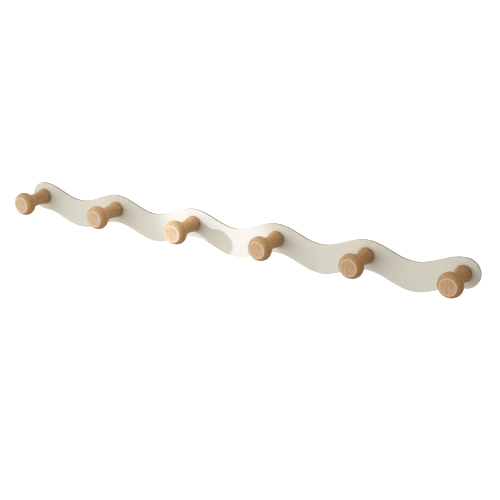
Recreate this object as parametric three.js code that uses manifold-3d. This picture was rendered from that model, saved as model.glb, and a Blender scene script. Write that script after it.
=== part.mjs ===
// A wall-mounted peg rail: a wavy band of powder-coated sheet steel that carries six turned wooden
// pegs, one on each crest of the wave. Every peg holds a knurled brass insert, and a pan-head screw
// with a washer pulls it against the band from behind. Two keyhole hangers, welded to the back, hook
// over two wall screws, and four rubber bumpers hold the band parallel to the wall.
//
// Millimetres. +X runs along the rail to the right, +Y points into the wall, +Z is up. The origin
// lies in the plane of the wall, at the middle of the rail, level with the two wall screws.
import * as THREE from "three";
import { mergeVertices } from "three/addons/utils/BufferGeometryUtils.js";
import Module from "manifold-3d";

// ---- driving dimensions -------------------------------------------------------------------------

const pegCount = 6;
const pegPitch = 150; // from peg to peg, which is also the length of one wave

const bandHeight = 47; // measured upright, the same all along the rail
const bandThickness = 4;
const waveAmplitude = 10;
const endOverrun = 1.5; // the band runs straight for this long past an end peg, then ends round
const wallGap = 6; // from the wall to the back of the band

const pegProfile = [
  [12.3, 0.9],
  [12.75, 2.6],
  [12.2, 7.5],
  [10.8, 15],
  [10.3, 22],
  [10.5, 28.5],
  [11.3, 34.5],
  [13.2, 39.8],
  [16, 44.8],
  [18.5, 49],
  [19.35, 52.5],
  [18.6, 56.3],
  [16.8, 60.1],
  [14.5, 62.6],
]; // [radius, distance from the band] over the foot, the long hollow waist and the round head
const footRadius = 10.8; // of the flat base, inside its rounded edge
const pegLength = 63.5;
const faceRadius = 13.2; // of the flat front, inside its bevel

const insertBoreRadius = 4.3;
const insertBoreDepth = 14;
const screwTipRadius = 2.8;
const screwTipDepth = 18;

const insertRadius = 4;
const insertLength = 12.5;
const insertRecess = 0.4; // below the peg's base
const insertThreadRadius = 2.62;
const knurlDepth = 0.35;
const knurlCount = 16;

const screwRadius = 2.5; // M5
const screwLength = 16; // under the head
const screwHeadHeight = 3.6;
const screwHeadProfile = [
  [3.15, -3.6],
  [4.25, -2.7],
  [4.75, -1.5],
  [4.75, 0],
]; // [radius, distance from its underside, away from the shank]
const screwTipBevel = 0.8;
const recessWidth = 1.3;
const recessSpan = 5.2;
const recessDepth = 2.2;

const screwHoleRadius = 2.75;
const washerRadius = 5;
const washerBoreRadius = 2.7;
const washerThickness = 1;

const hangerAt = 300; // from the middle of the rail, behind a trough
const hangerSheet = 1.5;
const hangerTop = 8;
const hangerBottom = -20;
const hangerLandLength = 34; // the raised part that lies on the wall
const hangerLength = 58; // over both welded flanges
const keyholeEntryRadius = 4.8;
const keyholeSlotRadius = 2.5;
const keyholeDrop = 9.5; // from the seat of the wall screw down to the entry hole

const bumperProfile = [
  [5, 0],
  [5, 5],
  [4.7, 5.7],
  [4, 6],
]; // [radius, distance from the band]
const bumperPlaces = [
  [-380, -4],
  [-150, -22],
  [150, -22],
  [380, -4],
];

const roundSegments = 24; // round a peg
const smallSegments = 16; // round a screw, a washer or a bumper
const wavePoints = 16; // along one wave, on each edge of the band

// ---- colours ------------------------------------------------------------------------------------

const powderCoat = new THREE.MeshStandardMaterial({ color: 0xe4e1d4, roughness: 0.5, metalness: 0 });
const beech = new THREE.MeshStandardMaterial({ color: 0xc49a6c, roughness: 0.6, metalness: 0 });
const brass = new THREE.MeshStandardMaterial({ color: 0xb8954a, roughness: 0.35, metalness: 1 });
const zincSteel = new THREE.MeshStandardMaterial({ color: 0xb9bcc0, roughness: 0.35, metalness: 1 });
const blackRubber = new THREE.MeshStandardMaterial({ color: 0x2b2b2b, roughness: 0.85, metalness: 0 });

// ---- places -------------------------------------------------------------------------------------

const bandBack = -wallGap;
const bandFront = -wallGap - bandThickness;
const waveHeight = (x) => waveAmplitude * Math.cos((2 * Math.PI * (x - pegPitch / 2)) / pegPitch);
const endPeg = ((pegCount - 1) / 2) * pegPitch;
const pegHeight = waveAmplitude; // the pegs sit on the middle of the crests
const pegPlaces = Array.from({ length: pegCount }, (_, i) => -endPeg + i * pegPitch);

// ---- tools --------------------------------------------------------------------------------------

const wasm = await Module();
wasm.setup();

function toSolid(geometry) {
  const plain = geometry.clone();
  plain.deleteAttribute("normal");
  plain.deleteAttribute("uv");
  const merged = mergeVertices(plain, 1e-4);
  return new wasm.Manifold(
    new wasm.Mesh({
      numProp: 3,
      vertProperties: new Float32Array(merged.attributes.position.array),
      triVerts: new Uint32Array(merged.index.array),
    }),
  );
}

function toGeometry(solid) {
  const mesh = solid.getMesh();
  const geometry = new THREE.BufferGeometry();
  geometry.setAttribute("position", new THREE.BufferAttribute(mesh.vertProperties, 3));
  geometry.setIndex(new THREE.BufferAttribute(mesh.triVerts, 1));
  geometry.computeVertexNormals();
  return geometry;
}

// A solid of revolution about the Y axis, from [radius, distance] pairs.
function turned(pairs, segments = roundSegments) {
  return new THREE.LatheGeometry(
    pairs.map(([radius, along]) => new THREE.Vector2(radius, along)),
    segments,
  );
}

function named(name, geometry, material) {
  const mesh = new THREE.Mesh(geometry, material);
  mesh.name = name;
  return mesh;
}

// An upright outline in X and Z, made into a plate from the depth nearWall towards the room.
function plate(shape, thickness, nearWall, curveSegments) {
  const geometry = new THREE.ExtrudeGeometry(shape, {
    depth: thickness,
    bevelEnabled: false,
    curveSegments,
  });
  geometry.rotateX(Math.PI / 2); // the outline's Y becomes Z, and the depth runs towards the room
  geometry.translate(0, nearWall, 0);
  return geometry;
}

function roundHole(x, z, radius) {
  return new THREE.Path().absarc(x, z, radius, 0, 2 * Math.PI, true);
}

// ---- the band -----------------------------------------------------------------------------------

// A wavy strip of even upright height with round ends and a screw hole behind each peg.
function bandGeometry() {
  const half = bandHeight / 2;
  const steps = wavePoints * (pegCount - 1);
  const xAt = (i) => -endPeg + (2 * endPeg * i) / steps;
  const outline = new THREE.Shape();
  outline.moveTo(-endPeg, waveAmplitude - half);
  for (let i = 1; i <= steps; i += 1) {
    outline.lineTo(xAt(i), waveHeight(xAt(i)) - half);
  }
  outline.absarc(endPeg + endOverrun, waveAmplitude, half, -Math.PI / 2, Math.PI / 2, false);
  for (let i = steps; i >= 0; i -= 1) {
    outline.lineTo(xAt(i), waveHeight(xAt(i)) + half);
  }
  outline.absarc(-endPeg - endOverrun, waveAmplitude, half, Math.PI / 2, (3 * Math.PI) / 2, false);
  outline.holes = pegPlaces.map((x) => roundHole(x, pegHeight, screwHoleRadius));
  return plate(outline, bandThickness, bandBack, 10);
}

// ---- the pegs -----------------------------------------------------------------------------------

function pegGeometry() {
  return turned([
    [0, screwTipDepth],
    [screwTipRadius, screwTipDepth - 1],
    [screwTipRadius, insertBoreDepth],
    [insertBoreRadius, insertBoreDepth],
    [insertBoreRadius, 0],
    [footRadius, 0],
    ...pegProfile,
    [faceRadius, pegLength],
    [0, pegLength],
  ]);
}

// A brass bush with straight knurls outside and a plain bore where its M5 thread would be.
function insertGeometry() {
  const outline = new THREE.Shape();
  for (let i = 0; i < 2 * knurlCount; i += 1) {
    const angle = (i * Math.PI) / knurlCount;
    const radius = i % 2 ? insertRadius : insertRadius - knurlDepth;
    const draw = i ? "lineTo" : "moveTo";
    outline[draw](radius * Math.cos(angle), radius * Math.sin(angle));
  }
  outline.closePath();
  outline.holes = [roundHole(0, 0, insertThreadRadius)];
  const geometry = new THREE.ExtrudeGeometry(outline, {
    depth: insertLength,
    bevelEnabled: false,
    curveSegments: 8,
  });
  geometry.rotateX(-Math.PI / 2); // its axis becomes Y
  geometry.translate(0, insertRecess, 0);
  return geometry;
}

// A pan-head screw with a cross recess. Its head's underside lies at 0 and its shank runs along +Y.
function screwGeometry() {
  const shank = toSolid(
    turned(
      [
        [0, -screwHeadHeight],
        ...screwHeadProfile,
        [screwRadius, 0],
        [screwRadius, screwLength - screwTipBevel],
        [screwRadius - screwTipBevel, screwLength],
        [0, screwLength],
      ],
      smallSegments,
    ),
  );
  const slot = (turn) => {
    const box = new THREE.BoxGeometry(recessSpan, 2 * recessDepth, recessWidth);
    box.rotateY(turn);
    box.translate(0, -screwHeadHeight, 0);
    return toSolid(box);
  };
  return toGeometry(shank.subtract(slot(0)).subtract(slot(Math.PI / 2)));
}

function washerGeometry() {
  return turned(
    [
      [washerBoreRadius, 0],
      [washerRadius, 0],
      [washerRadius, washerThickness],
      [washerBoreRadius, washerThickness],
      [washerBoreRadius, 0],
    ],
    smallSegments,
  );
}

// ---- the back -----------------------------------------------------------------------------------

// A hat-shaped strip: two flanges on the band, two short legs, and a land on the wall with a keyhole.
// A wall screw's head goes in through the entry hole, then the rail drops until the screw's neck is
// at the top of the slot, level with the origin.
function hangerGeometry() {
  const outer = hangerLength / 2;
  const land = hangerLandLength / 2;
  const height = hangerTop - hangerBottom;
  const section = new THREE.Shape();
  section.moveTo(-outer, bandBack);
  section.lineTo(-land + hangerSheet, bandBack);
  section.lineTo(-land + hangerSheet, -hangerSheet);
  section.lineTo(land - hangerSheet, -hangerSheet);
  section.lineTo(land - hangerSheet, bandBack);
  section.lineTo(outer, bandBack);
  section.lineTo(outer, bandBack + hangerSheet);
  section.lineTo(land, bandBack + hangerSheet);
  section.lineTo(land, 0);
  section.lineTo(-land, 0);
  section.lineTo(-land, bandBack + hangerSheet);
  section.lineTo(-outer, bandBack + hangerSheet);
  section.closePath();
  const strip = new THREE.ExtrudeGeometry(section, { depth: height, bevelEnabled: false });
  strip.translate(0, 0, hangerBottom);

  const keyhole = new THREE.Shape();
  const meet = Math.asin(keyholeSlotRadius / keyholeEntryRadius);
  keyhole.absarc(0, 0, keyholeSlotRadius, 0, Math.PI, false);
  keyhole.absarc(0, -keyholeDrop, keyholeEntryRadius, Math.PI / 2 + meet, 2.5 * Math.PI - meet, false);
  keyhole.closePath();
  const cutter = plate(keyhole, 4 * hangerSheet, 2 * hangerSheet, 12);
  return toGeometry(toSolid(strip).subtract(toSolid(cutter)));
}

function bumperGeometry() {
  return turned([[0, 0], ...bumperProfile, [0, wallGap]], smallSegments);
}

// ---- assembly -----------------------------------------------------------------------------------

const towardsRoom = Math.PI; // about Z: a turned piece's +Y then points away from the wall
const rail = new THREE.Group();

rail.add(named("rail_band", bandGeometry(), powderCoat));

pegPlaces.forEach((x, i) => {
  const station = new THREE.Group();
  station.position.set(x, 0, pegHeight);
  const number = i + 1;

  const peg = named(`peg_${number}`, pegGeometry(), beech);
  peg.position.y = bandFront;
  peg.rotation.z = towardsRoom;

  const insert = named(`peg_insert_${number}`, insertGeometry(), brass);
  insert.position.y = bandFront;
  insert.rotation.z = towardsRoom;

  const washer = named(`peg_washer_${number}`, washerGeometry(), zincSteel);
  washer.position.y = bandBack;

  const screw = named(`peg_screw_${number}`, screwGeometry(), zincSteel);
  screw.position.y = bandBack + washerThickness;
  screw.rotation.z = towardsRoom;

  station.add(peg, insert, washer, screw);
  rail.add(station);
});

[
  ["hanger_left", -hangerAt],
  ["hanger_right", hangerAt],
].forEach(([name, x]) => {
  const hanger = named(name, hangerGeometry(), powderCoat);
  hanger.position.x = x;
  rail.add(hanger);
});

bumperPlaces.forEach(([x, z], i) => {
  const bumper = named(`wall_bumper_${i + 1}`, bumperGeometry(), blackRubber);
  bumper.position.set(x, bandBack, z);
  rail.add(bumper);
});

export default rail;
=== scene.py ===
# A wavy wall peg rail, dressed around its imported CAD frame: a powder-coated band, six turned beech
# pegs, and behind them the screws, washers, inserts, hangers and bumpers. Metres, in the CAD's frame:
# +X along the rail, +Y into the wall, +Z up, and the wall is the plane y = 0.
import math
import random

import bpy
import numpy as np
from mathutils import Matrix, Vector
from mathutils.geometry import tessellate_polygon


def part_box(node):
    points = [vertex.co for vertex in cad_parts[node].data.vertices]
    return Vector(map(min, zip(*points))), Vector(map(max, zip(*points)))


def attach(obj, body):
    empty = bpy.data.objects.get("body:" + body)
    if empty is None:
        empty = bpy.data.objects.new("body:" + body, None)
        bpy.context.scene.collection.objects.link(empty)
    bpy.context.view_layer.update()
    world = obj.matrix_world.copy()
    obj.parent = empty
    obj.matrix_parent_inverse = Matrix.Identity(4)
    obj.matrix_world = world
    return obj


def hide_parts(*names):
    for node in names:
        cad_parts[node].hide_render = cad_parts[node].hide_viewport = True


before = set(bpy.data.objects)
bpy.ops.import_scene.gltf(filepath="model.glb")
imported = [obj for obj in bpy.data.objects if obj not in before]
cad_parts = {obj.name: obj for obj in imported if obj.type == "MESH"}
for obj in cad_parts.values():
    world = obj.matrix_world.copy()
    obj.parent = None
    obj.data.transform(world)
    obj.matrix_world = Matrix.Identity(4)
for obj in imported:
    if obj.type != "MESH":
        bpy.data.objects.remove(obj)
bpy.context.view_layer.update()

MM = 0.001
PEG_NUMBERS = range(1, 7)
BUMPER_NUMBERS = range(1, 5)

# ---- sizes that the look adds to the CAD's ------------------------------------------------------

# The band's sizes are in metres, and all the others in millimetres.
BAND_HEIGHT = 47 * MM  # upright, the same all along
BAND_EDGE_RADIUS = 0.4 * MM  # the laser-cut edge, softened by the coat
HOLE_RADIUS = 2.75 * MM
HOLE_EDGE_RADIUS = 0.3 * MM
EDGE_STEPS = 5  # across one rounded edge
WAVE_STEPS = 64  # along one wave

# Through a peg's side as (radius, distance from the band). The foot is rounded up to the first one.
PEG_STATIONS = [
    (12.6, 2.0), (12.45, 5.0), (11.95, 9.0), (10.85, 15), (10.3, 22), (10.5, 28.5), (11.3, 34.5),
    (13.2, 39.8), (15.95, 44.8), (18.4, 49), (19.3, 52.5), (18.55, 56.3), (16.7, 60.1), (14.9, 61.9),
    (13.4, 63.05),
]
PEG_LENGTH = 63.5
PEG_SEGMENTS = 96
PEG_RIM_RADIUS = 12.5  # of the crest of the narrow rim round the face
PEG_RIM_WIDTH = 1.3
PEG_FACE_DEPTH = 0.35  # below the rim's crest
PEG_PALENESS_WITH_PAINTED_LIGHT = [0.9, 0.9, 0.95, 0.45, 0.1, 0.05]  # of each peg, from peg_1 to peg_6: partly its own wood, partly painted light, higher on the pegs lit more brightly

INSERT_BORE = (4.3, 14.0)  # radius, depth
SCREW_TIP_BORE = (2.8, 18.0)
DRILL_POINT = 1.2
BORE_CHAMFER = 0.3
INSERT_LENGTH = 12.5
INSERT_RECESS = 0.4
INSERT_RADIUS = 4.0
INSERT_THREAD_RADIUS = 2.62
INSERT_THREAD_DEPTH = 0.25
INSERT_THREAD_FADE = 0.5  # at both ends of the thread
KNURL_COUNT = 32
KNURL_DEPTH = 0.25

SCREW_LENGTH = 16.0
SCREW_RADIUS = 2.5
SCREW_HEAD = (4.75, 3.6)  # radius, height
SCREW_POINT = 0.6  # what the shank loses of its radius towards its end
THREAD_PITCH = 0.8
THREAD_DEPTH = 0.42
THREAD_FLAT = 0.1  # of half a pitch, on the crest and at the root
CROSS_ARM = (2.7, 0.62)  # half the length and half the width of an arm of the recess
CROSS_END = (0.35, 0.6)  # what is left of them at the bottom
CROSS_DEPTH = 2.3
CROSS_CLEARANCE = 0.5  # that the cutters stand out of the head

WASHER = (2.7, 5.0, 1.0)  # bore radius, outer radius, thickness

HANGER_SHEET = 1.5
HANGER_LAND = 34.0
HANGER_BEND = 1.5  # of the middle of the sheet
HANGER_CORNER = 3.0
HANGER_EDGE = 0.22  # the width of the bevel that rounds its edges
BEVEL_FROM = 35  # degrees between two faces, for their edge to be rounded
KEYHOLE_SLOT_RADIUS = 2.5
KEYHOLE_ENTRY_RADIUS = 4.8
KEYHOLE_DROP = 9.5
KEYHOLE_CUT = (-4.0, 2.0)  # the depths it is cut between, which lie off both faces of the land
WELD_SPHERE_RADIUS = 9.0  # of the electrode's tip
WELD_TIP_EDGE = 17  # degrees from the tip's axis to its edge
WELD_DEPTH = 0.25
WELD_INSET = 0.22  # of the hanger's height, from its bottom and from its top

BUMPER_DISH = 0.6  # deep


# ---- profiles and meshes ------------------------------------------------------------------------

def arc(centre, radius, start, end, steps):
    """Points on a circle, from one angle to another in degrees, with both ends."""
    angles = [math.radians(start + (end - start) * i / steps) for i in range(steps + 1)]
    return [(centre[0] + radius * math.cos(a), centre[1] + radius * math.sin(a)) for a in angles]


def natural_spline(points, steps):
    """A smooth curve through points, with this many steps between two of them."""
    points = np.array(points, float)
    spans = np.linalg.norm(np.diff(points, axis=0), axis=1)
    count = len(points)
    matrix = np.eye(count)
    right = np.zeros_like(points)
    for i in range(1, count - 1):
        before, after = spans[i - 1], spans[i]
        matrix[i, i - 1:i + 2] = before, 2 * (before + after), after
        right[i] = 6 * ((points[i + 1] - points[i]) / after - (points[i] - points[i - 1]) / before)
    bend = np.linalg.solve(matrix, right)
    curve = []
    for i, span in enumerate(spans):
        for t in np.arange(steps) / steps:
            s = 1 - t
            straight = s * points[i] + t * points[i + 1]
            curved = ((s ** 3 - s) * bend[i] + (t ** 3 - t) * bend[i + 1]) * span ** 2 / 6
            curve.append(tuple(straight + curved))
    curve.append(tuple(points[-1]))
    return curve


def turned(profile, segments, ring=False, cut=None):
    """A closed solid of revolution about Y, in metres, from a profile of (radius, along) in mm.
    The profile starts and ends on the axis, or with ring it closes on itself.
    cut(angle, radius, along) is how far, in mm, the surface is cut back towards the axis there."""
    verts, rings, faces = [], [], []
    for radius, along in profile:
        if radius < 1e-6:
            rings.append([len(verts)] * segments)
            verts.append((0, along * MM, 0))
            continue
        rings.append(list(range(len(verts), len(verts) + segments)))
        for i in range(segments):
            angle = 2 * math.pi * i / segments
            r = radius - (cut(angle, radius, along) if cut else 0)
            verts.append((r * math.sin(angle) * MM, along * MM, r * math.cos(angle) * MM))
    next_rings = rings[1:] + rings[:1] if ring else rings[1:]
    for low, high in zip(rings, next_rings):
        for i in range(segments):
            j = (i + 1) % segments
            quad = [low[i], low[j], high[j], high[i]]
            faces.append([v for k, v in enumerate(quad) if v not in quad[:k]])
    return verts, faces


def smooth(mesh, sharp_degrees):
    mesh.shade_smooth()
    mesh.set_sharp_from_angle(angle=math.radians(sharp_degrees))


def make_object(name, verts, faces, material=None, sharp_degrees=40):
    mesh = bpy.data.meshes.new(name)
    mesh.from_pydata([tuple(v) for v in verts], [], faces)
    smooth(mesh, sharp_degrees)
    if material:
        mesh.materials.append(material)
    obj = bpy.data.objects.new(name, mesh)
    bpy.context.scene.collection.objects.link(obj)
    return obj


def only_material(obj, material):
    """Gives a cut piece one material, on its cut faces too."""
    obj.data.materials.clear()
    obj.data.materials.append(material)


def place(obj, centre, towards_room=True):
    """Puts a piece made about Y with its base at 0 on centre, growing out of the wall or into it."""
    turn = Matrix.Rotation(math.pi, 4, "Z") if towards_room else Matrix.Identity(4)
    obj.data.transform(Matrix.Translation(centre) @ turn)


def apply_modifiers(obj):
    graph = bpy.context.evaluated_depsgraph_get()
    mesh = bpy.data.meshes.new_from_object(obj.evaluated_get(graph))
    obj.modifiers.clear()
    obj.data = mesh
    return obj


def boolean(obj, cutters, operation="DIFFERENCE"):
    """Cuts obj with each cutter, or keeps what they share, and removes the cutters."""
    for cutter in cutters:
        step = obj.modifiers.new("cut", "BOOLEAN")
        step.solver = "EXACT"
        step.operation = operation
        step.object = cutter
        bpy.context.view_layer.update()
        apply_modifiers(obj)
        bpy.data.objects.remove(cutter)
    return obj


def soften_edges(obj, width_mm):
    bevel = obj.modifiers.new("bevel", "BEVEL")
    bevel.width = width_mm * MM
    bevel.segments = 2
    bevel.limit_method = "ANGLE"
    bevel.angle_limit = math.radians(BEVEL_FROM)
    bevel.harden_normals = False
    apply_modifiers(obj)
    smooth(obj.data, BEVEL_FROM)


def keep_flats_flat(obj):
    """Weights the shading by face area, so that large flat faces look flat up to their round edges."""
    weighting = obj.modifiers.new("normals", "WEIGHTED_NORMAL")
    weighting.keep_sharp = True
    return apply_modifiers(obj)


def prism(name, outline, near, far):
    """A closed plate between the depths near and far, from an outline of (x, z) run counterclockwise
    as seen from the room. All in metres."""
    count = len(outline)
    verts = [(x, near, z) for x, z in outline] + [(x, far, z) for x, z in outline]
    faces = [list(range(count)), list(range(2 * count - 1, count - 1, -1))]
    for i in range(count):
        j = (i + 1) % count
        faces.append([i, i + count, j + count, j])
    return make_object(name, verts, faces)


def finish_piece(obj, node):
    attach(obj, "root")
    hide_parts(node)


# ---- the band -----------------------------------------------------------------------------------

def band_outline(half_height, end_x, amplitude, reach):
    """The band's outline and its outward normals, counterclockwise as seen from the room."""
    length = 2 * math.pi / pitch_of_pegs()
    xs = np.linspace(-end_x, end_x, WAVE_STEPS * (len(PEG_NUMBERS) - 1) + 1)
    middle = amplitude * np.cos(length * (xs + end_x))
    slope = -amplitude * length * np.sin(length * (xs + end_x))
    normals = np.stack([-slope, np.ones_like(xs)], 1) / np.sqrt(1 + slope ** 2)[:, None]
    low = np.stack([xs, middle - half_height], 1)
    high = np.stack([xs, middle + half_height], 1)
    turn = np.radians(np.linspace(-90, 90, 49))
    outward = np.stack([np.cos(turn), np.sin(turn)], 1)
    centre = np.array([end_x + reach, amplitude])
    right = centre + half_height * outward
    left = -right + [0, 2 * amplitude]
    points = np.concatenate([low, right, high[::-1], left])
    outwards = np.concatenate([-normals, outward, normals[::-1], -outward])
    return points, outwards


def hole_outline(centre):
    """A screw hole's outline, and the normals out of the sheet, clockwise as seen from the room."""
    turn = np.radians(np.arange(0, 360, 7.5))[::-1]
    from_centre = np.stack([np.cos(turn), np.sin(turn)], 1)
    return np.array([centre.x, centre.z]) + HOLE_RADIUS * from_centre, -from_centre


def edge_loops(points, outwards, front, back, radius):
    """Loops of points from the front face over a rounded edge to the back face."""
    loops = []
    for i in range(EDGE_STEPS + 1):
        a = math.radians(90 * i / EDGE_STEPS)
        inset = radius * (1 - math.sin(a))
        loops.append((points - outwards * inset, front + radius * (1 - math.cos(a))))
    loops += [(outline, front + back - depth) for outline, depth in reversed(loops)]
    return [[(x, depth, z) for x, z in outline] for outline, depth in loops]


def edge_faces(start, count, rows):
    """The quads between rows of this many points each, that run round an edge."""
    faces = []
    for row in range(rows - 1):
        for i in range(count):
            a = start + row * count + i
            b = start + row * count + (i + 1) % count
            faces.append([a, a + count, b + count, b])
    return faces


def flat_faces(verts, rims, towards_room):
    """Triangles between an outline and the holes in it, all turned to the room or all away from it."""
    flat = [[Vector((verts[i][0], verts[i][2], 0)) for i in rim] for rim in rims]
    order = [i for rim in rims for i in rim]
    faces = []
    for triangle in tessellate_polygon(flat):
        face = [order[i] for i in triangle]
        (ax, _, az), (bx, _, bz), (cx, _, cz) = (verts[i] for i in face)
        to_room = (bx - ax) * (cz - az) - (bz - az) * (cx - ax) > 0
        faces.append(face if to_room == towards_room else face[::-1])
    return faces


def pitch_of_pegs():
    first, second = (sum(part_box(f"peg_{i}"), Vector()) / 2 for i in (1, 2))
    return second.x - first.x


def peg_centre(number, depth):
    """The point on a peg's axis at this depth."""
    low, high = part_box(f"peg_{number}")
    return Vector(((low.x + high.x) / 2, depth, (low.z + high.z) / 2))


def make_band(material):
    low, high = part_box("rail_band")
    half = BAND_HEIGHT / 2
    amplitude = high.z - half
    end_x = peg_centre(len(PEG_NUMBERS), 0).x
    reach = high.x - half - end_x
    edges = [(*band_outline(half, end_x, amplitude, reach), BAND_EDGE_RADIUS)]
    for number in PEG_NUMBERS:
        edges.append((*hole_outline(peg_centre(number, 0)), HOLE_EDGE_RADIUS))
    verts, faces, fronts, backs = [], [], [], []
    for points, outwards, radius in edges:
        loops = edge_loops(points, outwards, low.y, high.y, radius)
        count = len(points)
        start = len(verts)
        for loop in loops:
            verts += loop
        faces += edge_faces(start, count, len(loops))
        fronts.append(range(start, start + count))
        backs.append(range(len(verts) - count, len(verts)))
    faces += flat_faces(verts, fronts, True) + flat_faces(verts, backs, False)
    band = keep_flats_flat(make_object("wave_band", verts, faces, material, sharp_degrees=50))
    finish_piece(band, "rail_band")


# ---- the pegs -----------------------------------------------------------------------------------

def peg_profile(length):
    """From the bottom of the bore, out over the foot, along the side and over the rim to the face."""
    bore_radius, bore_depth = INSERT_BORE
    tip_radius, tip_depth = SCREW_TIP_BORE
    base_radius, base_top = PEG_STATIONS[0]
    profile = [(0, tip_depth), (tip_radius, tip_depth - DRILL_POINT), (tip_radius, bore_depth)]
    profile += [(bore_radius, bore_depth), (bore_radius, BORE_CHAMFER), (bore_radius + BORE_CHAMFER, 0)]
    profile += arc((base_radius - base_top, base_top), base_top, -90, 0, 6)[:-1]
    profile += natural_spline(PEG_STATIONS, 6)
    shoulder = (PEG_RIM_RADIUS + 0.45 * PEG_RIM_WIDTH, length - 0.2 * PEG_FACE_DEPTH)
    crest = (PEG_RIM_RADIUS, length)
    inner = (PEG_RIM_RADIUS - 0.55 * PEG_RIM_WIDTH, length - 0.4 * PEG_FACE_DEPTH)
    foot = (PEG_RIM_RADIUS - PEG_RIM_WIDTH, length - 0.95 * PEG_FACE_DEPTH)
    profile += natural_spline([shoulder, crest, inner, foot], 3)
    floor = length - PEG_FACE_DEPTH
    profile += [(radius, floor) for radius in (PEG_RIM_RADIUS - 2, 9, 5, 0)]
    return profile


def make_peg(number, material):
    low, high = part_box(f"peg_{number}")
    verts, faces = turned(peg_profile((high.y - low.y) / MM), PEG_SEGMENTS)
    obj = make_object(f"turned_peg_{number}", verts, faces, material, sharp_degrees=60)
    place(obj, peg_centre(number, high.y))
    finish_piece(obj, f"peg_{number}")


def thread_cut(angle, along):
    """How deep a thread is cut at this angle and place, from 0 on its crest to 1 at its root."""
    turns = (along / THREAD_PITCH - angle / (2 * math.pi)) % 1
    slope = abs(2 * turns - 1)
    return min(max((slope - THREAD_FLAT) / (1 - 2 * THREAD_FLAT), 0), 1)


def make_insert(number, material):
    """A bush with two knurled bands, a groove between them and a tapped bore."""
    outer, inner = INSERT_RADIUS, INSERT_THREAD_RADIUS
    start, end = INSERT_RECESS, INSERT_RECESS + INSERT_LENGTH
    middle = (start + end) / 2
    profile = [
        (outer - 0.2, start), (outer, start + 0.2), (outer, middle - 0.9), (outer - 0.5, middle - 0.6),
        (outer - 0.5, middle + 0.6), (outer, middle + 0.9), (outer, end - 0.4), (outer - 0.4, end),
    ]
    steps = int(INSERT_LENGTH / THREAD_PITCH) * 6
    profile += [(inner, end - INSERT_LENGTH * i / steps) for i in range(steps + 1)]

    def cut(angle, radius, along):
        if radius > inner:
            knurled = radius >= outer and abs(along - middle) > 0.8
            return KNURL_DEPTH * (0.5 - 0.5 * math.cos(KNURL_COUNT * angle)) if knurled else 0
        fade = min(1, (along - start) / INSERT_THREAD_FADE, (end - along) / INSERT_THREAD_FADE)
        return -INSERT_THREAD_DEPTH * max(0, fade) * (1 - thread_cut(angle, along))

    verts, faces = turned(profile, 4 * KNURL_COUNT, ring=True, cut=cut)
    obj = make_object(f"threaded_insert_{number}", verts, faces, material)
    place(obj, peg_centre(number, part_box(f"peg_{number}")[1].y))
    finish_piece(obj, f"peg_insert_{number}")


def cross_recess(centre_depth):
    """The cutters for a tapered cross recess, which opens at the depth given, in metres."""
    half_length, half_width = CROSS_ARM
    arm = [(half_length, half_width), (-half_length, half_width),
           (-half_length, -half_width), (half_length, -half_width)]
    end_length, end_width = CROSS_END
    verts = [(x * MM, centre_depth - CROSS_CLEARANCE * MM, z * MM) for x, z in arm]
    verts += [(end_length * x * MM, centre_depth + CROSS_DEPTH * MM, end_width * z * MM) for x, z in arm]
    faces = [[0, 1, 2, 3], [7, 6, 5, 4], [0, 4, 5, 1], [1, 5, 6, 2], [2, 6, 7, 3], [3, 7, 4, 0]]
    cutters = []
    for turn in (0, math.pi / 2):
        cutter = make_object("recess", verts, faces)
        cutter.data.transform(Matrix.Rotation(turn, 4, "Y"))
        cutters.append(cutter)
    return cutters


def screw_profile():
    """A low domed head with a round rim, and a straight shank."""
    head_radius, head_height = SCREW_HEAD
    profile = [(0, -head_height), (1.5, -head_height + 0.02), (2.8, -head_height + 0.12)]
    profile += arc((head_radius - 1.7, -head_height + 1.95), 1.7, -72, 0, 7)
    profile += [(head_radius, -0.35), (head_radius - 0.1, -0.1), (head_radius - 0.35, 0)]
    steps = int(SCREW_LENGTH / THREAD_PITCH) * 8
    profile += [(SCREW_RADIUS, SCREW_LENGTH * i / steps) for i in range(steps)]
    profile += [(SCREW_RADIUS - SCREW_POINT, SCREW_LENGTH), (0, SCREW_LENGTH)]
    return profile


def make_screw(number, material):
    """A pan-head screw: a domed head with a cross recess, and a threaded shank with a short point."""

    def cut(angle, radius, along):
        if radius != SCREW_RADIUS or along <= 0:
            return 0
        fade = min(1, along / THREAD_PITCH)
        point = max(0, 1 - (SCREW_LENGTH - along) / THREAD_PITCH)
        return max(fade * THREAD_DEPTH * thread_cut(angle, along), SCREW_POINT * point)

    head_height = SCREW_HEAD[1]
    verts, faces = turned(screw_profile(), 40, cut=cut)
    obj = make_object(f"pan_head_screw_{number}", verts, faces, material)
    boolean(obj, cross_recess(-head_height * MM))
    smooth(obj.data, sharp_degrees=35)
    obj.data.transform(Matrix.Rotation(random.uniform(0, math.pi), 4, "Y"))
    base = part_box(f"peg_screw_{number}")[1].y - head_height * MM
    place(obj, peg_centre(number, base))
    only_material(obj, material)
    finish_piece(obj, f"peg_screw_{number}")


def make_washer(number, material):
    """A stamped washer: rolled over the edge on one side, sharp on the other."""
    bore, outer, thickness = WASHER
    profile = [(bore, 0.05), (bore + 0.05, 0), (outer - 0.05, 0), (outer, 0.05)]
    profile += arc((outer - 0.3, thickness - 0.3), 0.3, 0, 90, 4)
    profile += arc((bore + 0.25, thickness - 0.25), 0.25, 90, 180, 4)
    verts, faces = turned(profile, 64, ring=True)
    obj = make_object(f"plain_washer_{number}", verts, faces, material)
    place(obj, peg_centre(number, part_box(f"peg_washer_{number}")[0].y), towards_room=False)
    finish_piece(obj, f"peg_washer_{number}")


# ---- the back -----------------------------------------------------------------------------------

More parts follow.
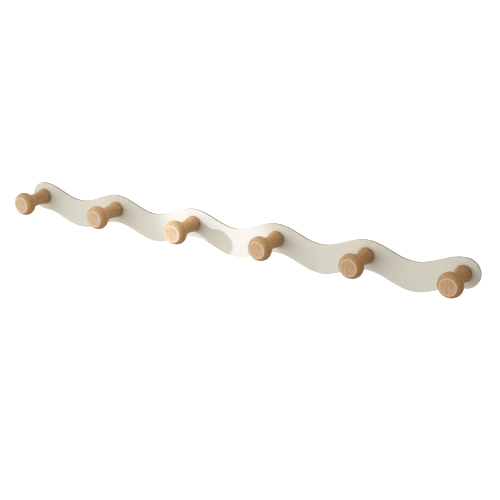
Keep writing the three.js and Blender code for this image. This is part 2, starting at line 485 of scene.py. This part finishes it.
def hat_section(outer, depth_back, depth_front):
    """A hat section of even sheet with round bends, as (x, y) in mm, from its middle line."""
    half_sheet = HANGER_SHEET / 2
    land = HANGER_LAND / 2 - half_sheet
    flange_y = depth_front + half_sheet
    land_y = depth_back - half_sheet
    bend = HANGER_BEND
    turns = range(0, 91, 15)  # degrees, through one bend
    upper = arc((land - bend, land_y - bend), bend, 90, 0, len(turns) - 1)
    lower = arc((land + bend, flange_y + bend), bend, 180, 270, len(turns) - 1)
    right = [((0, land_y), 90)]
    right += [(point, 90 - turn) for point, turn in zip(upper, turns)]
    right += zip(lower, turns)
    right.append(((outer, flange_y), 90))
    above = []
    below = []
    for (x, y), degrees in right:
        nx, ny = math.cos(math.radians(degrees)), math.sin(math.radians(degrees))
        above.append((x + half_sheet * nx, y + half_sheet * ny))
        below.append((x - half_sheet * nx, y - half_sheet * ny))
    half = below + above[::-1]
    mirrored = [(-x, y) for x, y in above + below[::-1]]
    return half[:-1] + mirrored[:-1]


def rounded_rectangle(low, high, radius):
    corners = [(high[0], high[1]), (low[0], high[1]), (low[0], low[1]), (high[0], low[1])]
    points = []
    for i, (x, z) in enumerate(corners):
        cx = x - radius if x == high[0] else x + radius
        cz = z - radius if z == high[1] else z + radius
        points += arc((cx, cz), radius, 90 * i, 90 * i + 90, 8)
    return points


def keyhole_outline():
    meet = math.degrees(math.asin(KEYHOLE_SLOT_RADIUS / KEYHOLE_ENTRY_RADIUS))
    slot = arc((0, 0), KEYHOLE_SLOT_RADIUS, 0, 180, 16)
    entry = arc((0, -KEYHOLE_DROP), KEYHOLE_ENTRY_RADIUS, 90 + meet, 450 - meet, 36)
    return slot + entry


def hanger_strip(name, half_width, bottom, top, back, front):
    """The bent strip, centred on x = 0, with round corners. All in mm."""
    section = hat_section(half_width, back, front)
    count = len(section)
    verts = [(x * MM, y * MM, z * MM) for z in (bottom, top) for x, y in section]
    faces = [list(range(count))[::-1], list(range(count, 2 * count))]
    faces += [[i, (i + 1) % count, (i + 1) % count + count, i + count] for i in range(count)]
    obj = make_object(name, verts, faces)
    corners = rounded_rectangle((-half_width, bottom), (half_width, top), HANGER_CORNER)
    trim = prism("trim", [(x * MM, z * MM) for x, z in corners], (front - 1) * MM, (back + 1) * MM)
    return boolean(obj, [trim], "INTERSECT")


def weld_cutter(x, z, flange_back):
    """The round tip of an electrode, in mm, pressed a little way into a flange from behind."""
    tip = arc((0, 0), WELD_SPHERE_RADIUS, -90, WELD_TIP_EDGE - 90, 8)
    rim_radius, rim_height = tip[-1]
    profile = [(0, -WELD_SPHERE_RADIUS), *tip[1:], (rim_radius, rim_height + 1), (0, rim_height + 1)]
    cutter = make_object("weld", *turned(profile, 64))
    depth = flange_back + WELD_SPHERE_RADIUS - WELD_DEPTH
    cutter.data.transform(Matrix.Translation((x * MM, depth * MM, z * MM)))
    return cutter


def make_hanger(side, material):
    """A keyhole hanger with round bends and edges, and a weld mark near each corner of its flanges."""
    low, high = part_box(f"hanger_{side}")
    middle = (low.x + high.x) / 2
    half_width = (high.x - low.x) / 2 / MM
    bottom, top = low.z / MM, high.z / MM
    back, front = high.y / MM, low.y / MM
    obj = hanger_strip(f"keyhole_hanger_{side}", half_width, bottom, top, back, front)
    outline = [(x * MM, z * MM) for x, z in keyhole_outline()]
    near, far = KEYHOLE_CUT
    boolean(obj, [prism("keyhole", outline, near * MM, far * MM)])
    soften_edges(obj, HANGER_EDGE)
    flange_x = (HANGER_LAND / 2 + half_width) / 2
    weld_heights = [(1 - share) * bottom + share * top for share in (WELD_INSET, 1 - WELD_INSET)]
    flange_back = front + HANGER_SHEET
    boolean(obj, [weld_cutter(x, z, flange_back) for x in (-flange_x, flange_x) for z in weld_heights])
    smooth(obj.data, sharp_degrees=40)
    keep_flats_flat(obj)
    only_material(obj, material)
    obj.data.transform(Matrix.Translation((middle, 0, 0)))
    finish_piece(obj, f"hanger_{side}")


def make_bumper(number, material):
    """A moulded rubber button with a round edge and a shallow dish in its wall side."""
    low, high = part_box(f"wall_bumper_{number}")
    radius = (high.x - low.x) / 2 / MM
    height = (high.y - low.y) / MM
    dish = height - BUMPER_DISH
    profile = [(0, 0), (radius - 0.2, 0), (radius, 0.25), (radius - 0.12, 0.7), (radius - 0.3, height - 1.2)]
    profile += arc((radius - 1.3, height - 1), 1, 0, 90, 8)
    profile += [(2.6, height), (2.4, height - 0.1), (2.2, dish + 0.1), (1.8, dish), (0, dish)]
    verts, faces = turned(profile, 64)
    obj = make_object(f"rubber_bumper_{number}", verts, faces, material, sharp_degrees=50)
    middle = (low + high) / 2
    place(obj, Vector((middle.x, low.y, middle.z)), towards_room=False)
    finish_piece(obj, f"wall_bumper_{number}")


# ---- materials ----------------------------------------------------------------------------------

CUT_EDGE_SHADE = (0.27, 0.24, 0.15)  # times the coat's colour: a painted shade on the cut edge
RING_WIDTH = 2.9 * MM
RING_SWAY = 3.5 * MM
RAY_CELLS = (150.0, 420.0, 2400.0)  # per metre away from the pith, along the peg and along the rings
PITH_TURN = 16  # degrees to either side, at most
PITH_DISTANCE = (0.06, 0.11)  # the range of its distance from a peg's axis

# Colours of the palest beech and of the warmest.
RING_LIGHT = ((0.695, 0.42, 0.205), (0.57, 0.30, 0.125))
RING_DARK = ((0.585, 0.325, 0.15), (0.465, 0.235, 0.093))
PEG_FACE = ((0.80, 0.61, 0.44), (0.66, 0.45, 0.285))
# PEG_RIM is partly a painted highlight round the face's rim, partly paler worn wood.
PEG_RIM = ((0.95, 0.78, 0.58), (0.84, 0.62, 0.42))


class Nodes:
    """A node tree, with short calls to add and link its nodes. Places and sizes are in metres."""

    def __init__(self, tree):
        self.tree = tree
        self.tree.nodes.clear()

    def add(self, kind, inputs=None, **settings):
        node = self.tree.nodes.new("ShaderNode" + kind)
        for key, value in settings.items():
            setattr(node, key, value)
        for key, value in (inputs or {}).items():
            if isinstance(value, bpy.types.NodeSocket):
                self.tree.links.new(value, node.inputs[key])
            else:
                node.inputs[key].default_value = value
        return node

    def maths(self, operation, *values):
        return self.add("Math", dict(enumerate(values)), operation=operation).outputs[0]

    def times(self, a, b):
        return self.maths("MULTIPLY", a, b)

    def parts(self, vector):
        """The x, y and z of a vector."""
        outputs = self.add("SeparateXYZ", {0: vector}).outputs
        return outputs[0], outputs[1], outputs[2]

    def vector(self, x, y, z):
        return self.add("CombineXYZ", {0: x, 1: y, 2: z}).outputs[0]

    def ranged(self, value, start, end, low=0.0, high=1.0):
        """low up to where the value is start, high from where it is end, and even between."""
        inputs = {"Value": value, "From Min": start, "From Max": end, "To Min": low, "To Max": high}
        return self.add("MapRange", inputs).outputs[0]

    def place_of(self, centre=(0, 0, 0), scale=(1, 1, 1), turn=0.0):
        """Where a point lies from centre, turned about Y and then scaled."""
        here = self.add("TexCoord").outputs["Object"]
        offset = self.add("VectorMath", {0: here, 1: tuple(centre)}, operation="SUBTRACT").outputs[0]
        rotated = self.add("VectorRotate", {"Vector": offset, "Angle": turn}, rotation_type="Y_AXIS")
        return self.add("VectorMath", {0: rotated.outputs[0], 1: scale}, operation="MULTIPLY").outputs[0]

    def noise(self, vector, scale, detail=3.0, roughness=0.5):
        inputs = {"Vector": vector, "Scale": scale, "Detail": detail, "Roughness": roughness}
        return self.add("TexNoise", inputs).outputs["Fac"]

    def ramp(self, factor, stops):
        """Colours or greys at places from 0 to 1, and even between them."""
        node = self.add("ValToRGB", {"Fac": factor})
        elements = node.color_ramp.elements
        while len(elements) < len(stops):
            elements.new(0.5)
        for element, (position, value) in zip(elements, stops):
            element.position = position
            element.color = (*value, 1) if hasattr(value, "__len__") else (value, value, value, 1)
        return node.outputs["Color"]

    def mix(self, factor, a, b, blend="MIX"):
        node = self.add("Mix", {0: factor}, data_type="RGBA", blend_type=blend)
        for key, value in ((6, a), (7, b)):  # the node's two colours
            if isinstance(value, bpy.types.NodeSocket):
                self.tree.links.new(value, node.inputs[key])
            else:
                node.inputs[key].default_value = (*value, 1)
        return node.outputs[2]

    def tint(self, tone, by):
        """A tone times a colour or a grey."""
        return self.mix(1.0, tone, by, "MULTIPLY")

    def bump(self, height, distance, strength=1.0, normal=None):
        inputs = {"Height": height, "Distance": distance, "Strength": strength}
        if normal:
            inputs["Normal"] = normal
        return self.add("Bump", inputs).outputs["Normal"]


class Shader(Nodes):
    """The node tree of a new material."""

    def __init__(self, name):
        self.material = bpy.data.materials.new(name)
        self.material.use_nodes = True
        super().__init__(self.material.node_tree)

    def finish(self, **inputs):
        named = {key.replace("_", " "): value for key, value in inputs.items()}
        shader = self.add("BsdfPrincipled", named)
        self.add("OutputMaterial", {"Surface": shader.outputs[0]})
        return self.material


def powder_coat(name, colour, cut_edge):
    """A satin powder coat: an even colour, a fine orange peel and a faint cloudiness. It is darker on the
    sheet's cut edge, which lies between the two depths in cut_edge: a painted shade."""
    s = Shader(name)
    here = s.place_of()
    clouded = tuple(0.965 * c for c in colour)
    tone = s.ramp(s.noise(here, 14, 2), [(0.35, clouded), (0.65, colour)])
    speckle = s.ramp(s.noise(here, 2600, 1), [(0.28, 0.93), (0.36, 1.0)])
    tone = s.tint(tone, speckle)
    depth = s.parts(here)[1]
    from_middle = s.maths("ABSOLUTE", s.maths("SUBTRACT", depth, sum(cut_edge) / 2))
    half = abs(cut_edge[1] - cut_edge[0]) / 2
    # A painted shade: the coat's colour darkens on the cut edge.
    clear_of_edge_shade = s.ranged(from_middle, half - 0.3 * MM, half - 0.1 * MM)
    tone = s.tint(tone, s.ramp(clear_of_edge_shade, [(0.0, CUT_EDGE_SHADE), (1.0, (1, 1, 1))]))
    peel = s.noise(here, 750, 2, 0.6)
    grit = s.noise(here, 3200, 1)
    normal = s.bump(grit, 0.006 * MM, 1.0, s.bump(peel, 0.03 * MM, 1.0))
    rough = s.ranged(s.noise(here, 60, 3), 0, 1, 0.40, 0.50)
    return s.finish(Base_Color=tone, Roughness=rough, Normal=normal, IOR=1.5)


class Grain:
    """Where a point lies in a peg's wood: x across the rings, y along the peg from its foot, which is
    at centre, z along the rings, and how far the point is from the pith, beside the peg."""

    def __init__(self, s, centre, pith_turn, pith_distance):
        self.s = s
        self.centre = centre
        self.pith_turn = pith_turn
        self.x, self.y, self.z = s.parts(self.place())
        across = s.maths("POWER", s.maths("ADD", self.x, pith_distance), 2.0)
        self.from_pith = s.maths("SQRT", s.maths("ADD", across, s.maths("POWER", self.z, 2.0)))

    def place(self, scale=(1, 1, 1)):
        return self.s.place_of(self.centre, scale, self.pith_turn)


def growth_rings(s, grain, light, dark):
    """A tone that darkens from the start of each ring to its late wood, and is light again at once."""
    sway = s.noise(grain.place((1, 0.25, 1)), 45, 2)
    from_pith = s.maths("MULTIPLY_ADD", sway, RING_SWAY, grain.from_pith)
    drawn_out = s.vector(from_pith, s.times(grain.y, 0.02), 0.0)
    uneven = s.noise(drawn_out, 260, 2)
    count = s.maths("MULTIPLY_ADD", uneven, 1.3, s.times(from_pith, 1 / RING_WIDTH))
    between = tuple((a + b) / 2 for a, b in zip(light, dark))
    stops = [(0.0, light), (0.55, between), (0.88, dark), (1.0, light)]
    return s.ramp(s.maths("FRACT", count), stops)


def streaks_patches_and_painted_light(s, grain, tone):
    """Streaks along the grain, soft patches, and painted light: one side paler and cooler as if lit, the
    other darker and warmer as if in shade.
    """
    streaks = s.noise(grain.place((1, 0.15, 1)), 520, 3, 0.6)
    tone = s.tint(tone, s.ramp(streaks, [(0.32, (0.82, 0.76, 0.70)), (0.68, (1.10, 1.13, 1.16))]))
    patches = s.noise(s.place_of(grain.centre, (1, 0.3, 1)), 70, 2)
    tone = s.tint(tone, s.ramp(patches, [(0.35, (1.02, 0.97, 0.94)), (0.65, (0.97, 1.02, 1.02))]))
    # Painted light: paler and cooler towards -x, darker and warmer towards +x.
    across = s.ranged(grain.x, -18 * MM, 18 * MM)
    return s.tint(tone, s.ramp(across, [(0.0, (1.03, 1.12, 1.28)), (1.0, (0.94, 0.90, 0.86))]))


def ray_flecks(s, grain, tone, colour):
    """Thin flecks that lie across the rings, in about half of the cells that they could lie in."""
    distances = (grain.from_pith, grain.y, grain.z)
    place = s.vector(*(s.times(distance, cells) for distance, cells in zip(distances, RAY_CELLS)))
    cells = s.add("TexVoronoi", {"Vector": place, "Scale": 1.0}, feature="F1").outputs
    middle = s.ramp(cells["Distance"], [(0.16, 1.0), (0.30, 0.0)])
    chance = s.add("SeparateColor", {0: cells["Color"]}).outputs[0]
    picked = s.ramp(chance, [(0.45, 0.0), (0.50, 1.0)])
    return s.mix(s.times(s.times(middle, picked), 0.30), tone, colour)


def peg_front(s, grain, tone, face_colour, rim_colour):
    """End grain on the face, which also pales the shoulder a little, and a paler rim round it, partly worn
    wood and partly a painted highlight.
    """
    face_y = -PEG_LENGTH * MM
    off_axis = s.place_of(grain.centre, (1, 0, 1))
    radius = s.add("VectorMath", {0: off_axis}, operation="LENGTH").outputs[1]
    near_face = s.ranged(grain.y, face_y, face_y + 2.0 * MM, 1.0, 0.0)
    inside = s.ranged(radius, (PEG_RIM_RADIUS + 0.4) * MM, (PEG_RIM_RADIUS + 1.0) * MM, 1.0, 0.0)
    pores = s.noise(grain.place((1, 1, 0.22)), 460, 3, 0.6)
    stops = [(0.34, (0.74, 0.62, 0.50)), (0.5, (1.0, 1.0, 1.0)), (0.66, (1.08, 1.14, 1.20))]
    face = s.tint(face_colour, s.ramp(pores, stops))
    shoulder = s.ranged(grain.y, face_y + 6.5 * MM, face_y + 1.5 * MM, 0.0, 0.2)
    tone = s.mix(shoulder, tone, face)
    tone = s.mix(s.times(s.times(inside, near_face), 0.8), tone, face)
    # A painted highlight on the rim, partly paler worn wood.
    across_rim = s.ranged(radius, (PEG_RIM_RADIUS - 1.0) * MM, (PEG_RIM_RADIUS + 1.5) * MM)
    on_rim = s.ramp(across_rim, [(0.0, 0.0), (0.3, 1.0), (0.55, 1.0), (0.85, 0.0)])
    return s.mix(s.times(s.times(on_rim, near_face), 0.8), tone, rim_colour)


def beech(name, centre, pith_turn, pith_distance, paleness):
    """Turned beech with its grain along the peg: rings, fibres, streaks and ray flecks, a painted side
    light, a painted shade at the foot, end grain on the face and a pale rim that is partly a painted
    highlight.
    paleness 0 is a warm orange beech and 1 a pale one."""
    s = Shader(name)

    def shade(pale, warm):
        return tuple(paleness * p + (1 - paleness) * w for p, w in zip(pale, warm))

    grain = Grain(s, centre, pith_turn, pith_distance)
    dark = shade(*RING_DARK)
    tone = growth_rings(s, grain, shade(*RING_LIGHT), dark)
    fibre = s.noise(s.vector(grain.x, s.times(grain.y, 0.03), grain.z), 1500, 3, 0.6)
    tone = s.tint(tone, s.ramp(fibre, [(0.3, 0.86), (0.7, 1.08)]))
    tone = streaks_patches_and_painted_light(s, grain, tone)
    tone = ray_flecks(s, grain, tone, tuple(0.55 * c for c in dark))
    # Painted shade: the wood darkens towards the band, where the foot lies in shade.
    tone = s.tint(tone, s.ranged(grain.y, -9 * MM, 0.0, 1.0, 0.66))
    tone = peg_front(s, grain, tone, shade(*PEG_FACE), shade(*PEG_RIM))
    turning = {"Vector": s.place_of(centre), "Scale": 330.0, "Distortion": 1.5, "Detail": 1.0}
    grooves = s.add("TexWave", turning, bands_direction="Y").outputs["Fac"]
    normal = s.bump(fibre, 0.04 * MM, 0.6, s.bump(grooves, 0.01 * MM, 0.5))
    rough = s.ranged(fibre, 0, 1, 0.50, 0.64)
    return s.finish(Base_Color=tone, Roughness=rough, Normal=normal, Specular_IOR_Level=0.22)


def bright_metal(name, colour, roughness, streak_scale):
    """Plated or machined metal: uneven tone, fine turning streaks round Y and small pits."""
    s = Shader(name)
    here = s.place_of()
    cloud = s.noise(here, 420, 3)
    tone = s.ramp(cloud, [(0.3, tuple(0.86 * c for c in colour)), (0.7, colour)])
    streak = s.noise(s.place_of(scale=(1, streak_scale, 1)), 900, 2)
    pits = s.noise(here, 5200, 1)
    normal = s.bump(pits, 0.004 * MM, 0.8, s.bump(streak, 0.006 * MM, 0.8))
    rough = s.ranged(cloud, 0, 1, roughness - 0.06, roughness + 0.1)
    return s.finish(Base_Color=tone, Metallic=1.0, Roughness=rough, Normal=normal)


def black_rubber(name):
    """Matt moulded rubber with a little dust on it."""
    s = Shader(name)
    here = s.place_of()
    dust = s.noise(here, 300, 4, 0.6)
    tone = s.ramp(dust, [(0.35, 0.018), (0.75, 0.040)])
    normal = s.bump(s.noise(here, 2800, 2), 0.01 * MM)
    rough = s.ranged(dust, 0, 1, 0.68, 0.86)
    return s.finish(Base_Color=tone, Roughness=rough, Normal=normal, IOR=1.52)


# ---- the studio ---------------------------------------------------------------------------------

SOFT_BOX_FROM = (math.radians(-28), math.radians(12))  # azimuth, elevation
SOFT_BOX_DISTANCE = 2.5
SOFT_BOX_SIZE = (4.4, 2.6)
SOFT_BOX_POWER = 61
SOFT_BOX_COLOUR = (0.98, 0.99, 1.0)
TOP_FROM = (-0.35, -0.12, 1.75)
TOP_TO = (-0.03, -0.05, 0)
TOP_CONE = 24  # degrees
TOP_POWER = 48
BACK_FILL_FROM = (-1.6, 2.3, 0.3)
BACK_FILL_SIZE = 3.0
BACK_FILL_POWER = 26
BEAM_FROM = Vector((-0.90, -1.0, 0.44)).normalized()
BEAM_DISTANCE = 3.0
BEAM_COLOUR = (0.70, 0.775, 1.0)
BEAM_POWER = 184
SPILL_POWER = 32

WORLD_COLOUR = (1.0, 0.965, 0.84, 1)
WORLD_STRENGTHS = (0.37, 0.75)  # in front of the wall's plane, and behind it
WORLD_TURN = (-0.2, 0.6)  # the range of a direction's Y over which the first gives way to the second
FLOOR_LEVEL = -1.45
FLOOR_REACH = 60

VIEW_AZIMUTH = math.radians(29.66)
VIEW_ELEVATION = math.radians(19.77)
VIEW_DISTANCE = 1.8195
VIEW_TARGET = Vector((0.0277, -0.010, -0.0170))
VIEW_LENS = 84.13
VIEW_SENSOR = 36


def from_azimuth(azimuth, elevation):
    """A unit vector towards the viewer: azimuth 0 is straight out from the wall, and it grows to the
    right."""
    flat = math.cos(elevation)
    return Vector((math.sin(azimuth) * flat, -math.cos(azimuth) * flat, math.sin(elevation)))


def aim(obj, position, target):
    obj.location = position
    obj.rotation_euler = (Vector(target) - Vector(position)).to_track_quat("-Z", "Y").to_euler()


def make_camera():
    data = bpy.data.cameras.new("camera")
    data.lens = VIEW_LENS
    data.sensor_width = VIEW_SENSOR
    data.clip_end = 200
    camera = bpy.data.objects.new("camera", data)
    bpy.context.scene.collection.objects.link(camera)
    aim(camera, VIEW_TARGET + VIEW_DISTANCE * from_azimuth(VIEW_AZIMUTH, VIEW_ELEVATION), VIEW_TARGET)
    bpy.context.scene.camera = camera


def add_light(name, kind, position, target, power, colour=(1, 1, 1), **settings):
    data = bpy.data.lights.new(name, kind)
    data.energy = power
    data.color = colour
    for key, value in settings.items():
        setattr(data, key, value)
    light = bpy.data.objects.new(name, data)
    bpy.context.scene.collection.objects.link(light)
    aim(light, position, target)


def add_beam(name, middle, power, cone, blend, softness):
    """A spot from the left on the rail round this x, as wide as its cone, in degrees."""
    target = Vector((middle, -0.01, 0.0))
    add_light(name, "SPOT", target + BEAM_DISTANCE * BEAM_FROM, target, power, BEAM_COLOUR,
              shadow_soft_size=softness, spot_size=math.radians(cone), spot_blend=blend)


def make_lights():
    """A wide soft box in front, a spot above, a fill from behind the wall's plane, for the back's sake
    and for the sheen of the cut edge, and a narrow crisp beam with a faint wide one round it."""
    width, height = SOFT_BOX_SIZE
    add_light("soft_box", "AREA", SOFT_BOX_DISTANCE * from_azimuth(*SOFT_BOX_FROM), (0, 0, 0),
              SOFT_BOX_POWER, SOFT_BOX_COLOUR, shape="RECTANGLE", size=width, size_y=height)
    add_light("top", "SPOT", TOP_FROM, TOP_TO, TOP_POWER,
              shadow_soft_size=0.2, spot_size=math.radians(TOP_CONE), spot_blend=1.0)
    add_light("back_fill", "AREA", BACK_FILL_FROM, (0, 0, 0), BACK_FILL_POWER,
              shape="SQUARE", size=BACK_FILL_SIZE)
    add_beam("beam", -0.036, BEAM_POWER, cone=3.7, blend=0.7, softness=0.004)
    add_beam("spill", 0.040, SPILL_POWER, cone=6.6, blend=1.0, softness=0.03)


def make_world():
    """White to the camera, and to everything else a dim warm light, brighter behind the wall's plane."""
    world = bpy.data.worlds.new("studio")
    bpy.context.scene.world = world
    world.use_nodes = True
    s = Nodes(world.node_tree)
    into_wall = s.parts(s.add("TexCoord").outputs["Generated"])[1]
    strength = s.ranged(into_wall, *WORLD_TURN, *WORLD_STRENGTHS)
    light = s.add("Background", {"Color": WORLD_COLOUR, "Strength": strength}).outputs[0]
    seen = s.add("Background", {"Color": (1, 1, 1, 1), "Strength": 1.0}).outputs[0]
    by_camera = s.add("LightPath").outputs["Is Camera Ray"]
    either = s.add("MixShader", {0: by_camera, 1: light, 2: seen}).outputs[0]
    s.add("OutputWorld", {"Surface": either})


def make_floor():
    """A pale floor at its real distance below the rail, bright enough to leave the picture white."""
    s = Shader("pale_floor")
    material = s.finish(Base_Color=(0.9, 0.9, 0.9, 1), Roughness=0.9, Emission_Color=(1, 1, 1, 1),
                        Emission_Strength=1.0)
    square = [(-1, -1), (1, -1), (1, 1), (-1, 1)]
    corners = [(x * FLOOR_REACH, y * FLOOR_REACH, FLOOR_LEVEL) for x, y in square]
    floor = make_object("floor", corners, [[0, 1, 2, 3]], material)
    for ray in ("visible_diffuse", "visible_glossy", "visible_shadow"):
        setattr(floor, ray, False)


# ---- assembly -----------------------------------------------------------------------------------

random.seed(11)
make_camera()
make_world()
make_floor()
make_lights()

band_depths = [corner.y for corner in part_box("rail_band")]
coat = powder_coat("cream_powder_coat", (0.80, 0.78, 0.70), band_depths)
zinc = bright_metal("zinc_plate", (0.70, 0.71, 0.72), 0.30, 1)
brass = bright_metal("brass", (0.72, 0.53, 0.24), 0.28, 6)
rubber = black_rubber("black_rubber")

make_band(coat)
for number in PEG_NUMBERS:
    pith_turn = math.radians(random.uniform(-PITH_TURN, PITH_TURN))
    pith_distance = random.uniform(*PITH_DISTANCE)
    foot = peg_centre(number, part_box("rail_band")[0].y)
    wood = beech(f"beech_{number}", foot, pith_turn, pith_distance, PEG_PALENESS_WITH_PAINTED_LIGHT[number - 1])
    make_peg(number, wood)
    make_insert(number, brass)
    make_screw(number, zinc)
    make_washer(number, zinc)
for side in ("left", "right"):
    make_hanger(side, coat)
for number in BUMPER_NUMBERS:
    make_bumper(number, rubber)

bpy.context.scene.view_settings.view_transform = "Standard"
